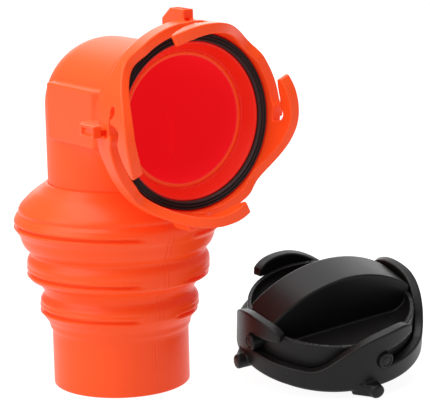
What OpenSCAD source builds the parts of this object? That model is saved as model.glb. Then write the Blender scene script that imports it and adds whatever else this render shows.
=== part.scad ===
// Sewer hose elbow with a swivelling bayonet collar and a stepped hose adapter,
// and the pair of bayonet caps that closes it, lying beside it.
// Axes: +Z runs up the spigot and the mouth looks along -Y. The origin is the centre of
// the spigot's lower end. Around the mouth, angles are counted counter-clockwise from +X
// as seen from the front, and depth is the distance along -Y from the spigot's axis.

/* [Spigot and hose steps] */
// Outer diameter of the plain spigot
spigot_d = 76.2; // [73:0.1:80]
// Height of the plain spigot
spigot_h = 31; // [22:0.5:36]
// Wall thickness of the adapter
adapter_wall = 3.2; // [2:0.1:3.4]
// Diameter of the first hose step
step_1_d = 88.4; // [84:0.1:92]
// Height at which the first step's land starts
step_1_z = 42.5; // [40:0.5:46]
// Height of the first step's land
step_1_h = 5.5; // [4:0.1:8]
// Diameter of the second hose step
step_2_d = 101.2; // [97:0.1:105]
// Height at which the second step's land starts
step_2_z = 63.4; // [60:0.1:66]
// Height of the second step's land
step_2_h = 8; // [5:0.1:9]
// Diameter of the third hose step
step_3_d = 114; // [110:0.1:118]
// Height at which the third step's land starts
step_3_z = 90.5; // [86:0.1:93]
// Height of the third step's land
step_3_h = 4.5; // [3.5:0.1:6]
// How far each waist is drawn in behind its step
waist_depth = 2.4; // [1:0.1:3.5]
// Height over which a land falls into its waist
waist_h = 3.8; // [2.5:0.1:5]
// Depth of the hose thread's groove in each land
thread_depth = 1.7; // [0.8:0.1:2.2]
// Slope of the hose thread's groove
thread_slope = 1.2; // [0:0.1:2]

/* [Elbow] */
// Outer diameter of the elbow's tube
tube_d = 75; // [72:0.1:77]
// Wall thickness of the elbow
tube_wall = 4.5; // [3.5:0.1:6]
// Height of the mouth's axis
mouth_z = 156; // [150:1:180]
// Depth at which the flare behind the collar starts
flare_start = 46; // [44:0.5:50]
// Depth of the shoulder that the collar runs against
shoulder_y = 63; // [58:0.5:70]
// Radius of the shoulder over the tube's own
flare_rise = 8; // [5:0.1:9]
// Distance of the flat side pads from the elbow's middle plane
pad_x = 38.4; // [38:0.1:42]
// Half height of the side pads
pad_half_h = 15.5; // [10:0.5:18]
// How far the side pads reach behind the spigot's axis
pad_back = 5; // [0:0.5:10]
// Length of the neck that carries the sleeve
neck_len = 8.8; // [6:0.1:10]
// Wall thickness of the neck
neck_wall = 2.6; // [2:0.1:4]

/* [Mouth sleeve] */
// Wall thickness of the sleeve's hub
hub_wall = 4.6; // [3:0.1:6]
// Length of the hub that the collar turns on
hub_len = 12.5; // [11:0.1:16]
// Width of the flange that keeps the collar on
flange_w = 6; // [4:0.1:7]
// Thickness of the flange
flange_t = 2; // [1.5:0.1:4]
// Length of the lip in front of the flange
lip_len = 1.8; // [1.5:0.1:4]
// Thickness of the lip's round edge
lip_t = 1.2; // [0.8:0.1:2]
// Height of the gasket at its ridges
gasket_h = 4; // [2.5:0.1:5]

/* [Bayonet] */
// Wall thickness of the ring that carries the hooks
band_wall = 5.4; // [4.5:0.1:6.5]
// Distance from the collar's inner step to its rim
band_len = 9.8; // [8:0.1:14]
// Height of the collar's slots
slot_h = 9.6; // [9:0.1:11]
// Thickness of the collar's hook arms
arm_h = 5.1; // [4:0.1:7]
// Angle of the first hook's tip
tip_angle = 26.5; // [20:0.5:30]
// Angle from a hook's tip to the centre of its seat
seat_back = 30; // [26:0.5:31]
// Angle of a hook that has its full height
hook_flat = 35; // [34:0.5:37]
// Angle over which a hook slopes down to the rim
hook_ramp = 27; // [20:0.5:30]
// Diameter of the seat at the end of each slot
seat_d = 10.7; // [10:0.1:12]
// Diameter of the collar's lugs
lug_d = 7.6; // [6:0.1:8.4]
// Radius of the lugs' outer ends
lug_tip_r = 57.5; // [55:0.1:60]

/* [Caps] */
// Height of the slot floor over the lower cap's base plane
cap_rim_h = 10.8; // [10.4:0.1:13]
// Diameter of the upper cap's pins
pin_d = 9.2; // [7:0.1:9.6]
// Radius of the pins' outer ends
pin_tip_r = 55; // [54:0.1:58]
// Thickness of the caps' hook arms
cap_arm_h = 10.4; // [6:0.1:12]
// Angle of the first cap hook's tip
cap_tip_angle = 54.5; // [52:0.5:57]
// Angle of a cap hook that has its full height
cap_flat = 33; // [32.5:0.5:36]
// Angle over which a cap hook slopes down to the rim
cap_ramp = 38; // [26:0.5:40]
// Wall thickness of the caps' cups
cup_wall = 2.4; // [1.8:0.1:3]
// Half width of the caps' grips
grip_half_w = 12; // [8:0.5:14]
// Radius of the arch of each grip
grip_arch_r = 67; // [60:1:90]
// Height of the upper grip's crown over the lower cap's base plane
grip_top = 45.8; // [40:0.5:50]
// Height of the lower grip's crown under the lower cap's base plane
grip_drop = 17.1; // [14:0.1:19]
// Tilt of the caps as they lie on their lower grip
cap_tilt = 17.25; // [14:0.25:20]

/* [Hidden] */
$fn = 96;

orange = "#f4512f";
red = "#d8281c";
rubber_black = "#1b1a1c";
cap_black = "#2b2829";

// Gaps between pieces
play = 0.3;       // between pieces that move past each other
run_fit = 0.1;    // the collar's bore on the hub, measured on the radius
bond = 0.05;      // between bonded pieces, measured on the radius

// Elbow and adapter
tube_r = tube_d / 2;
bore_r = tube_r - tube_wall;
spigot_r = spigot_d / 2;
shoulder_lip = 1;                      // the adapter's edge where the elbow enters it
sleeve_wall = 3;                       // the socket inside the adapter's shoulder
ledge_t = 2.4;                         // the ledge under the elbow's end
ledge_w = 3.5;                         // how far the ledge reaches under the elbow
shoulder_h = 16.2;                     // the adapter's shoulder over its top step
shoulder_power = 1.4;                  // 1 is a plain cone, more is rounder
step_1_r = step_1_d / 2;
step_2_r = step_2_d / 2;
step_3_r = step_3_d / 2;
shoulder_z = step_3_z + step_3_h + waist_h - 0.5;
socket_top = shoulder_z + shoulder_h;
socket_floor = socket_top - 14;
blend_steps = 6;
pad_past_flare = 1.5;                  // how far the pads run into the flare
pad_len = pad_back + flare_start + pad_past_flare;
pad_round = 3;

// Mouth, counted as depth in front of the spigot's axis
neck_r = bore_r + neck_wall;
neck_end = shoulder_y + neck_len;
hub_r = neck_r + hub_wall;
flange_back = shoulder_y + hub_len;
flange_front = flange_back + flange_t;
flange_r = hub_r + flange_w;
lip_end = flange_front + lip_len;
lip_r = hub_r + 0.9;
gasket_wall = flange_r - lip_r - 2 * play;
ridge_r = 0.8;

// Bayonet, shared by the collar and the caps
cavity_r = flange_r + 0.4;
band_r = cavity_r + band_wall;
step_y = flange_back - play;           // the collar's inner step behind the flange
rim_y = step_y + band_len;
land_r = cavity_r + 0.4;
land_back = shoulder_y + play;
band_back = step_y - 0.7;
lug_y = step_y - 0.4 - lug_d / 2;
gusset_flat = 6.5;                     // angle of a lug's gusset at full height
gusset_end = 12;                       // angle at which the gusset ends
gusset_drop = 3;
gusset_step = 0.4;                     // how far the gusset is thinner than the lug, each side
pocket_wall = 1.4;
pocket_depth = 5;
hooks = 4;
hook_step = 360 / hooks;
ramp_lap = 0.7;                        // angle by which a slot's floor runs into the next slope
ramp_lift = 0.12;

// Caps, in heights over the lower cap's base plane
cap_slot_h = pin_d + 2 * play;
pin_z = cap_rim_h + cap_slot_h / 2;
cap_seat_angle = cap_tip_angle - 26.5;
cap_lug_angle = 24;
cap_lug_z = 0.35;
cap_lug_d = 7.4;
cap_lug_tip_r = 58;
cup_r = cavity_r - 0.4;
cup_lower = cap_rim_h - 2.5;
cup_rim = pin_z + pin_d / 2 + 4.5;
cup_floor = pin_z - 0.2;
cup_floor_t = 2.8;
cap_plate_top = 5;
cap_plate_t = 3;
plug_drop = 4.6;
grip_wall = 3;
grip_len = cup_r - cup_wall + 0.4;     // half length: the grip ends inside the cup's wall
cap_gasket_w = 7.6;
cap_lean = -118.2;                     // the direction that the caps lean to
cap_yaw = -32.9;
cap_x = 98.5;
cap_y = -63;
// The caps rest on the lower grip's edge and on a lug: what each needs under the base plane
grip_bearing = cap_lug_angle + cap_yaw - cap_lean;
grip_rest = (grip_drop - grip_arch_r) * cos(cap_tilt) + sin(cap_tilt) * grip_half_w * sin(grip_bearing)
    + grip_arch_r * sqrt(pow(cos(cap_tilt), 2) + pow(sin(cap_tilt) * cos(grip_bearing), 2));
lug_rest = (cap_lug_d / 2 - cap_lug_z) * cos(cap_tilt) + cap_lug_tip_r * sin(cap_tilt)
    * max([for (i = [0:3]) cos(grip_bearing - gusset_flat + 90 * i)]);
cap_centre = [cap_x, cap_y, max(grip_rest, lug_rest)];

function ease(t) = (1 - cos(180 * t)) / 2;
function s_curve(a, b) = [for (i = [1:blend_steps]) let (t = i / blend_steps)
    [a[0] + (b[0] - a[0]) * ease(t), a[1] + (b[1] - a[1]) * t]];
function waist(r, z) = [r - waist_depth, z + waist_h];

// Depth along the mouth's axis becomes z
module along_mouth() translate([0, 0, mouth_z]) rotate([90, 0, 0]) children();

// Height over the lower cap's base plane becomes z
module at_caps() translate(cap_centre) rotate([0, 0, cap_lean]) rotate([0, cap_tilt, 0])
    rotate([0, 0, cap_yaw - cap_lean]) children();

module around(count, first) for (i = [0:count - 1]) rotate([0, 0, first + i * 360 / count]) children();

module ring(r_in, r_out, z0, z1) rotate_extrude() translate([r_in, z0]) square([r_out - r_in, z1 - z0]);

module sector(r_in, r_out, z0, z1, a0, a1) rotate([0, 0, a0]) rotate_extrude(angle = a1 - a0)
    translate([r_in, z0]) square([r_out - r_in, z1 - z0]);

// A rod along +X from r0 to r1 at height z
module radial_rod(d, r0, r1, z) translate([r0, 0, z]) rotate([0, 90, 0]) cylinder(d = d, h = r1 - r0);

// What is cut away over the slope at a hook's back, which rises counter-clockwise to z1
module over_ramp(z0, z1, angle) rotate([0, 0, angle / 2]) rotate([90, 0, 90])
    translate([0, 0, cavity_r - 8]) linear_extrude(band_wall + 14) polygon(concat(
        [for (i = [0:10]) [band_r * sin((i / 10 - 0.5) * angle),
            z0 + ramp_lift + (z1 - z0) * ease(i / 10)]],
        [[band_r * sin(angle / 2), z1 + 1], [-band_r * sin(angle / 2) - 2, z1 + 1],
            [-band_r * sin(angle / 2) - 2, z0 + 3]]));

// A ring wall from z0 to the rim, with hooks that rise over the rim
module hooked_wall(z0, rim, slot, arm, tip, flat, ramp, seat_angle, seat) difference() {
    ring(cavity_r, band_r, z0, rim + slot + arm);
    around(hooks, tip) sector(cavity_r - 2, band_r + 2, rim + slot / 2, rim + slot + arm + 1,
        0, hook_step - flat - ramp - ramp_lap);
    around(hooks, tip - flat - ramp) over_ramp(rim, rim + slot + arm, ramp);
    around(hooks, seat_angle) {
        sector(cavity_r - 1, band_r + 1, rim, rim + slot,
            0, tip - seat_angle + hook_step - flat - ramp + ramp_lap);
        radial_rod(seat, cavity_r - 3, band_r + 3, rim + slot / 2);
    }
}

// A lug along +X with a gusset on its counter-clockwise side
module lug(d, root_r, tip_r, z) {
    radial_rod(d, root_r, tip_r, z);
    difference() {
        gusset(root_r, tip_r, z - d / 2 + gusset_step, z + d / 2 - gusset_step, 0);
        gusset(root_r - 1, tip_r, z + d / 2 - pocket_depth, z + d / 2 + 1, pocket_wall);
    }
}

// The gusset beside a lug, drawn in by inset on every side
module gusset(root_r, tip_r, z0, z1, inset) {
    end = gusset_end - inset / tip_r * 180 / PI;
    tip = tip_r - inset;
    translate([0, 0, z0]) linear_extrude(z1 - z0) polygon([[root_r, inset], [tip, inset],
        [tip * cos(gusset_flat), tip * sin(gusset_flat)],
        [(tip - gusset_drop) * cos(end), (tip - gusset_drop) * sin(end)],
        [root_r * cos(end), root_r * sin(end)]]);
}

// The arched bar across a cap, along X, from the floor up to the crown
module grip(half_w, half_len, arch_r, floor_z, crown) rotate([90, 0, 0]) translate([0, 0, -half_w])
    linear_extrude(2 * half_w) intersection() {
        translate([0, crown - arch_r]) circle(r = arch_r, $fn = 180);
        translate([-half_len, floor_z]) square([2 * half_len, crown - floor_z + 1]);
    }

// The groove of the hose thread in one land, left open at the mould's two parting lines
module thread_groove(r, z) translate([0, 0, z]) rotate([0, thread_slope, 0])
    for (arc = [[-85, 82], [102, 258]]) rotate([0, 0, arc[0]]) rotate_extrude(angle = arc[1] - arc[0])
        polygon([[r - thread_depth, 0], [r + 1, -thread_depth], [r + 1, thread_depth]]);

module hose_adapter() color(orange) {
    w1 = waist(step_1_r, step_1_z + step_1_h);
    w2 = waist(step_2_r, step_2_z + step_2_h);
    w3 = [step_3_r - waist_depth, shoulder_z];
    outer = concat([[spigot_r, 0], [spigot_r, spigot_h]],
        s_curve([spigot_r, spigot_h], [step_1_r, step_1_z]),
        [[step_1_r, step_1_z + step_1_h]], s_curve([step_1_r, step_1_z + step_1_h], w1),
        s_curve(w1, [step_2_r, step_2_z]),
        [[step_2_r, step_2_z + step_2_h]], s_curve([step_2_r, step_2_z + step_2_h], w2),
        s_curve(w2, [step_3_r, step_3_z]),
        [[step_3_r, step_3_z + step_3_h]], s_curve([step_3_r, step_3_z + step_3_h], w3));
    shoulder = [for (i = [1:8]) let (t = i / 8)
        [w3[0] + (tube_r + shoulder_lip - w3[0]) * pow(t, shoulder_power), w3[1] + shoulder_h * t]];
    inner = [[tube_r + bond, socket_top], [tube_r + bond, socket_floor],
        [tube_r - ledge_w, socket_floor], [tube_r - ledge_w, socket_floor - ledge_t],
        [tube_r + sleeve_wall, socket_floor - ledge_t], [tube_r + sleeve_wall, socket_top - 5],
        [w3[0] - adapter_wall, shoulder_z],
        [step_3_r - adapter_wall - thread_depth, step_3_z + step_3_h - 1],
        [step_3_r - adapter_wall - thread_depth, step_3_z],
        [w2[0] - adapter_wall, w2[1]],
        [step_2_r - adapter_wall - thread_depth, step_2_z + step_2_h],
        [step_2_r - adapter_wall - thread_depth, step_2_z + 2],
        [w1[0] - adapter_wall, w1[1]],
        [step_1_r - adapter_wall - thread_depth, step_1_z + step_1_h],
        [step_1_r - adapter_wall - thread_depth, step_1_z + 3],
        [spigot_r - adapter_wall, spigot_h], [spigot_r - adapter_wall, 0]];
    difference() {
        rotate_extrude() polygon(concat(outer, shoulder, inner));
        thread_groove(step_1_r, step_1_z + 0.6);
        thread_groove(step_2_r, step_2_z + 0.6);
        thread_groove(step_3_r, step_3_z + 0.3);
    }
}

module elbow_body() color(orange) difference() {
    union() {
        translate([0, 0, socket_floor]) cylinder(r = tube_r, h = mouth_z - socket_floor);
        translate([0, 0, mouth_z]) sphere(r = tube_r);
        along_mouth() {
            cylinder(r = tube_r, h = flare_start + 1);
            rotate_extrude() polygon(concat([[bore_r - 1, flare_start]],
                [for (i = [0:8]) let (t = i / 8) [tube_r + flare_rise * (1 - sqrt(1 - t * t)),
                    flare_start + (shoulder_y - 0.5 - flare_start) * t]],
                [[tube_r + flare_rise, shoulder_y], [bore_r - 1, shoulder_y]]));
            cylinder(r = neck_r, h = neck_end);
        }
        side_pad();
        mirror([1, 0, 0]) side_pad();
    }
    translate([0, 0, socket_floor - 1]) cylinder(r = bore_r, h = mouth_z - socket_floor + 1);
    translate([0, 0, mouth_z]) sphere(r = bore_r);
    along_mouth() cylinder(r = bore_r, h = neck_end + 1);
}

// The flat pad on the elbow's +X side
module side_pad() hull() {
    pad_slab(bore_r + 1, 1);
    pad_slab(pad_x - 0.1, 0);
}

module pad_slab(x, grow) translate([x, pad_back - pad_len / 2, mouth_z]) rotate([90, 0, 90])
    linear_extrude(0.1) offset(r = pad_round + grow, $fn = 32)
        square([pad_len - 2 * pad_round, 2 * (pad_half_h - pad_round)], center = true);

module mouth_sleeve() color(red) along_mouth() {
    rotate_extrude() union() {
        polygon([[neck_r + bond, shoulder_y], [hub_r, shoulder_y], [hub_r, flange_back],
            [flange_r, flange_back], [flange_r, flange_front], [lip_r, flange_front],
            [lip_r, lip_end - lip_t / 2], [lip_r - lip_t, lip_end - lip_t / 2],
            [neck_r + 0.6, neck_end], [neck_r + bond, neck_end]]);
        translate([lip_r - lip_t / 2, lip_end - lip_t / 2]) circle(d = lip_t, $fn = 32);
    }
}

module mouth_gasket() color(rubber_black) along_mouth() rotate_extrude() {
    translate([lip_r + play / 2, flange_front]) square([gasket_wall + play, gasket_h - ridge_r]);
    for (i = [0:2]) translate([lip_r + play / 2 + (i + 0.5) * (gasket_wall + play) / 3,
        flange_front + gasket_h - ridge_r]) circle(r = ridge_r - 0.05, $fn = 32);
}

module bayonet_collar() color(orange) along_mouth() {
    rotate_extrude() polygon([[hub_r + run_fit, land_back], [land_r, land_back],
        [land_r, band_back - 2.5], [band_r - 1, band_back], [cavity_r + 2, step_y],
        [hub_r + run_fit, step_y]]);
    hooked_wall(band_back, rim_y, slot_h, arm_h, tip_angle, hook_flat, hook_ramp,
        tip_angle - seat_back, seat_d);
    around(4, 0) lug(lug_d, land_r - 1, lug_tip_r, lug_y);
}

module bayonet_cap() color(cap_black) at_caps() {
    hooked_wall(0, cap_rim_h, cap_slot_h, cap_arm_h, cap_tip_angle, cap_flat, cap_ramp,
        cap_seat_angle, cap_slot_h + 0.4);
    rotate_extrude() polygon([[0, cap_plate_top - cap_plate_t],
        [cup_r - cup_wall, cap_plate_top - cap_plate_t], [cup_r - cup_wall, -plug_drop],
        [cup_r, -plug_drop], [cup_r, 0], [cavity_r + 2, 0], [cavity_r + 2, cap_plate_top],
        [0, cap_plate_top]]);
    rotate([0, 0, cap_lug_angle]) mirror([0, 0, 1]) difference() {
        grip(grip_half_w, grip_len, grip_arch_r, 1 - cap_plate_top, grip_drop);
        grip(grip_half_w - grip_wall, grip_len - grip_wall, grip_arch_r - grip_wall,
            cap_plate_t - cap_plate_top, grip_drop - grip_wall);
    }
    around(4, cap_lug_angle) mirror([0, 1, 0]) lug(cap_lug_d, cup_r - 1, cap_lug_tip_r, cap_lug_z);
}

module cap_gasket() color(rubber_black) at_caps()
    ring(cavity_r - play - cap_gasket_w, cavity_r - play, cap_plate_top, cup_lower - play);

module lug_cap() color(cap_black) at_caps() {
    ring(cup_r - cup_wall, cup_r, cup_lower, cup_rim);
    rotate([0, 0, cap_seat_angle]) difference() {
        union() {
            translate([0, 0, cup_floor - cup_floor_t]) cylinder(r = cup_r - 1, h = cup_floor_t);
            grip(grip_half_w, grip_len, grip_arch_r, cup_floor - cup_floor_t, grip_top);
        }
        grip(grip_half_w - grip_wall, grip_len - grip_wall, grip_arch_r - grip_wall,
            cup_lower - 5, grip_top - grip_wall);
    }
    around(4, cap_seat_angle) difference() {
        radial_rod(pin_d, cup_r - cup_wall / 2, pin_tip_r, pin_z);
        radial_rod(pin_d / 2, cup_r + 1.5, pin_tip_r + 1, pin_z);
    }
}

elbow_body();
hose_adapter();
mouth_sleeve();
bayonet_collar();
mouth_gasket();
bayonet_cap();
lug_cap();
cap_gasket();
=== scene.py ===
"""Looks of a waste hose elbow with its stepped adapter, swivelling bayonet collar and two caps.

Each sub-assembly is a class that holds its sizes in millimetres, meshes its own pieces and hands
them over. Moulded bodies with many blended forms are meshed from a distance field, and turned ones
are lathed from a profile by Geometry Nodes, which also set out what repeats round an axis. A field
takes points as an array with a row for each coordinate, and gives their distance to a surface,
below 0 inside it.
"""
from __future__ import annotations

import logging
import math
from dataclasses import dataclass, field
from enum import Enum
from functools import reduce
from typing import Callable, Sequence

import bpy
import numpy as np
from mathutils import Matrix, Vector

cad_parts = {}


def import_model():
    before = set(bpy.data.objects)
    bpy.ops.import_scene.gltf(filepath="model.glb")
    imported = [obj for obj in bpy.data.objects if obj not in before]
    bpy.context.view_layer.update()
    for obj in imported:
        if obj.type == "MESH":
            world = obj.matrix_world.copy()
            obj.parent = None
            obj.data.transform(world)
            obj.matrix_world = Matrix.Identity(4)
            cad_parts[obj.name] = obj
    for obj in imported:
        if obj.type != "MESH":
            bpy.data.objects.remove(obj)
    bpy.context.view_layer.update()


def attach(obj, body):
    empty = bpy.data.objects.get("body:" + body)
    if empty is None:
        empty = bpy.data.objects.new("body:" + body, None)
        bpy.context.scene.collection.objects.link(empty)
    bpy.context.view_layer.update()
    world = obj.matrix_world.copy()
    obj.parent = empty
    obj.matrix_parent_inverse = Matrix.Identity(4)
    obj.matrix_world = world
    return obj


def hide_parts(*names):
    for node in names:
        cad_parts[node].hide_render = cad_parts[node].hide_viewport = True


Array = np.ndarray
Field = Callable[[Array], Array]
Pair = tuple[float, float]
Triple = tuple[float, float, float]

LOG = logging.getLogger("elbow_kit")
MM = 0.001
MOUTH_Z = 156.0
CAVITY_R = 46.6
BAND_R = 52.0
CUP_R = 46.2
CUP_WALL = 2.4
CAP_ORIGIN = (98.5, -63.0, 19.98)
CAP_LEAN = -118.2
CAP_TILT = 17.25
CAP_YAW = -32.9


def turned(degrees: float, axis: str) -> Matrix:
    """A turn about one of the axes X, Y and Z."""
    return Matrix.Rotation(math.radians(degrees), 4, axis)


class Axis(Enum):
    """The axes that the turned and repeated pieces stand round."""

    MOUTH = "mouth"
    CAPS = "caps"
    SPIGOT = "spigot"

    def matrix(self) -> Matrix:
        """Turns and moves a piece from its own axis, +Z, into the row frame, in metres.

        Returns:
            The 4 by 4 matrix.
        """
        if self is Axis.MOUTH:
            return Matrix.Translation((0, 0, MOUTH_Z * MM)) @ turned(90, "X")
        if self is Axis.CAPS:
            turn = turned(CAP_LEAN, "Z") @ turned(CAP_TILT, "Y") @ turned(CAP_YAW - CAP_LEAN, "Z")
            return Matrix.Translation(Vector(CAP_ORIGIN) * MM) @ turn
        return Matrix.Identity(4)

    def place(self, points: Array) -> Array:
        """Moves points from the axis's own frame, in millimetres, into the row frame, in metres."""
        m = np.array(self.matrix(), float)
        return points * MM @ m[:3, :3].T + m[:3, 3]


# ---------------------------------------------------------------- distance fields


def shared(*fields: Array) -> Array:
    """Intersection of fields, with sharp edges."""
    return reduce(np.maximum, fields)


def round_union(a: Array, b: Array, r: float | Array) -> Array:
    """Union of two fields with a hollow fillet of radius r."""
    return np.maximum(r, np.minimum(a, b)) - np.hypot(np.maximum(r - a, 0), np.maximum(r - b, 0))


def round_both(a: Array, b: Array, r: float) -> Array:
    """Intersection of two fields with its edge rounded to radius r."""
    return np.minimum(-r, np.maximum(a, b)) + np.hypot(np.maximum(r + a, 0), np.maximum(r + b, 0))


def round_cut(a: Array, b: Array, r: float) -> Array:
    """Field a without field b, its new edge rounded to radius r."""
    return round_both(a, -b, r)


def slab(x: Array, low: float | Array, high: float | Array) -> Array:
    """Distance to the space between two planes."""
    return np.maximum(low - x, x - high)


def ramp(x: Array, start: float, end: float) -> Array:
    """Goes from 0 at start to 1 at end."""
    return np.clip((x - start) / (end - start), 0, 1)


def polygon_field(x: Array, y: Array, corners: Sequence[Pair]) -> Array:
    """Signed distance to a closed polygon.

    Args:
        x: first coordinates.
        y: second coordinates.
        corners: the polygon's corners in order.

    Returns:
        The distance, below 0 inside.
    """
    best = np.full(x.shape, np.inf)
    inside = np.zeros(x.shape, bool)
    for (ax, ay), (bx, by) in zip(corners, list(corners[1:]) + [corners[0]]):
        ex, ey = bx - ax, by - ay
        wx, wy = x - ax, y - ay
        t = np.clip((wx * ex + wy * ey) / (ex * ex + ey * ey), 0, 1)
        best = np.minimum(best, (wx - ex * t) ** 2 + (wy - ey * t) ** 2)
        if ay != by:
            inside ^= ((ay > y) != (by > y)) & (x < ex * (y - ay) / (by - ay) + ax)
    return np.sqrt(best) * np.where(inside, -1, 1)


@dataclass
class FieldMesher:
    """Meshes the closed surface of a field on a grid, with one corner in each cell it passes.

    The first axis may wrap. A block of cells is sampled point by point unless the surface is
    further away than the margin, in blocks. The field's slope is probed over a share of a cell and
    taken as no flatter than the flattest, and a corner settles along it by up to the reach, in
    cells.
    """

    shape: Field
    low: Triple
    high: Triple
    cell: float
    wraps: bool = False
    block: int = 6
    margin: float = 1.35
    probe: float = 0.06
    reach: float = 0.5
    flattest: float = 0.05

    def _axes(self) -> list[Array]:
        """Sets out the grid.

        Returns:
            Its coordinates on each axis; a wrapped one runs a cell past its period.
        """
        axes = []
        for i, (a, b) in enumerate(zip(self.low, self.high)):
            n = max(2, math.ceil((b - a) / self.cell))
            step = (b - a) / n
            axes.append(a + step * np.arange(n + 2 if i == 0 and self.wraps else n + 1))
        return axes

    def _sample(self, axes: list[Array]) -> Array:
        """The field on the grid, worked out only in blocks that the surface may pass.

        Args:
            axes: the grid's coordinates.

        Returns:
            The values, one for each grid point.
        """
        index, centre = [], []
        for a in axes:
            blocks = max(1, math.ceil((len(a) - 1) / self.block))
            index.append(np.minimum(np.arange(len(a)) // self.block, blocks - 1))
            edges = np.minimum(np.arange(blocks + 1) * self.block, len(a) - 1)
            centre.append((a[edges[:-1]] + a[edges[1:]]) / 2)
        rough = self.shape(np.stack(np.meshgrid(*centre, indexing="ij")))
        value = rough[np.ix_(*index)].copy()
        near = np.abs(value) < self.cell * (self.block + 1) * self.margin
        spots = np.nonzero(near)
        value[near] = self.shape(np.stack([a[i] for a, i in zip(axes, spots)]))
        return value

    def _settle(self, points: Array) -> Array:
        """Moves points onto the surface along the field's slope.

        Args:
            points: one row for each point.

        Returns:
            The moved points.
        """
        e = self.probe * self.cell
        for _ in range(2):
            value = self.shape(points.T)
            slope = np.stack([self.shape((points + side).T) - self.shape((points - side).T)
                              for side in np.eye(3) * e], 1) / (2 * e)
            size = np.maximum((slope ** 2).sum(1), self.flattest)
            step = slope * (value / size)[:, None]
            length = np.maximum(np.linalg.norm(step, axis=1), 1e-12)
            points = points - step * np.minimum(1, self.reach * self.cell / length)[:, None]
        return points

    def surface(self) -> tuple[Array, Array]:
        """Works out the corners and the four-sided faces.

        Returns:
            The points, in the field's own coordinates, and each face's four point numbers.
        """
        axes = self._axes()
        value = self._sample(axes)
        inside = value < 0
        cells = tuple(n - 1 for n in value.shape)
        total = np.zeros((int(np.prod(cells)), 3))
        count = np.zeros(int(np.prod(cells)))
        rings: list[Array] = []
        for a in range(3):
            b, c = (a + 1) % 3, (a + 2) % 3
            head, tail = [slice(None)] * 3, [slice(None)] * 3
            head[a], tail[a] = slice(None, -1), slice(1, None)
            first, second = value[tuple(head)], value[tuple(tail)]
            spot = np.stack(np.nonzero(inside[tuple(head)] != inside[tuple(tail)]), 1)
            real = np.ones(len(spot), bool)
            if self.wraps and a == 0:
                real = spot[:, 0] < cells[0] - 1
            p, q = first[tuple(spot.T)], second[tuple(spot.T)]
            where = np.stack([axes[i][spot[:, i]] for i in range(3)], 1)
            where[:, a] += p / (p - q) * (axes[a][spot[:, a] + 1] - axes[a][spot[:, a]])
            corners = []
            for db, dc in ((-1, -1), (0, -1), (0, 0), (-1, 0)):
                cell = spot.copy()
                cell[:, b] += db
                cell[:, c] += dc
                fits = np.all((cell >= 0) & (cell < cells), 1)
                flat = np.ravel_multi_index(tuple(np.where(fits, k, 0) for k in cell.T), cells)
                np.add.at(count, flat[fits], 1)
                np.add.at(total, flat[fits], where[fits])
                corners.append(flat)
                real = real & fits
            ring = np.stack(corners, 1)[real]
            flip = ~(p < 0)[real]
            ring[flip] = ring[flip][:, ::-1]
            rings.append(ring)
        faces = np.concatenate(rings)
        used = np.zeros(len(count), bool)
        used[faces.ravel()] = True
        number = np.cumsum(used) - 1
        points = total[used] / count[used][:, None]
        return self._settle(points), number[faces]


def make_object(name: str, data: bpy.types.ID) -> bpy.types.Object:
    """Puts a mesh, lamp or camera into the scene at the origin.

    Args:
        name: the object's name.
        data: what it shows.

    Returns:
        The object.
    """
    made = bpy.data.objects.new(name, data)
    bpy.context.scene.collection.objects.link(made)
    return made


def mesh_object(name: str, points: Array, faces: Array) -> bpy.types.Object:
    """Builds a smooth-shaded mesh and puts it into the scene.

    Args:
        name: the mesh's and the object's name.
        points: one row for each point, in metres.
        faces: each face's four point numbers.

    Returns:
        The object.
    """
    mesh = bpy.data.meshes.new(name)
    mesh.vertices.add(len(points))
    mesh.vertices.foreach_set("co", points.astype(np.float32).ravel())
    mesh.loops.add(faces.size)
    mesh.loops.foreach_set("vertex_index", faces.astype(np.int32).ravel())
    mesh.polygons.add(len(faces))
    mesh.polygons.foreach_set("loop_start", np.arange(0, faces.size, 4, dtype=np.int32))
    mesh.update(calc_edges=True)
    mesh.validate()
    mesh.shade_smooth()
    return make_object(name, mesh)


# ---------------------------------------------------------------- node trees


def operator(operation: str, swapped: bool = False) -> Callable[..., Sum]:
    """Makes an operator of Sum that adds a Math node.

    Args:
        operation: the node's operation.
        swapped: puts the value after the other one, as a reflected operator does.

    Returns:
        The operator.
    """
    def add(value: Sum, *others: Sum | float) -> Sum:
        """Adds the node on a value and the others."""
        order = (*others, value) if swapped else (value, *others)
        return value.maker.out("ShaderNodeMath", dict(enumerate(order)), {"operation": operation})

    return add


class Sum:
    """One output in a node tree, on which arithmetic can be written where it is a number."""

    def __init__(self, maker: NodeMaker, socket: bpy.types.NodeSocket) -> None:
        """Keeps the socket and what adds nodes to its tree."""
        self.maker = maker
        self.socket = socket

    __add__ = __radd__ = operator("ADD")
    __sub__, __rsub__ = operator("SUBTRACT"), operator("SUBTRACT", swapped=True)
    __mul__ = __rmul__ = operator("MULTIPLY")
    __truediv__, __rtruediv__ = operator("DIVIDE"), operator("DIVIDE", swapped=True)
    __pow__ = operator("POWER")
    __gt__ = operator("GREATER_THAN")
    __lt__ = operator("LESS_THAN")
    __abs__ = operator("ABSOLUTE")

    def of(self, operation: str, *others: Sum | float) -> Sum:
        """Any other operation of a Math node on this value."""
        return operator(operation)(self, *others)

    def smooth(self, low: float, high: float) -> Sum:
        """Rises smoothly from 0 at low to 1 at high."""
        sockets = {"Value": self, "From Min": low, "From Max": high}
        return self.maker.out("ShaderNodeMapRange", sockets, {"interpolation_type": "SMOOTHSTEP"})


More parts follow.
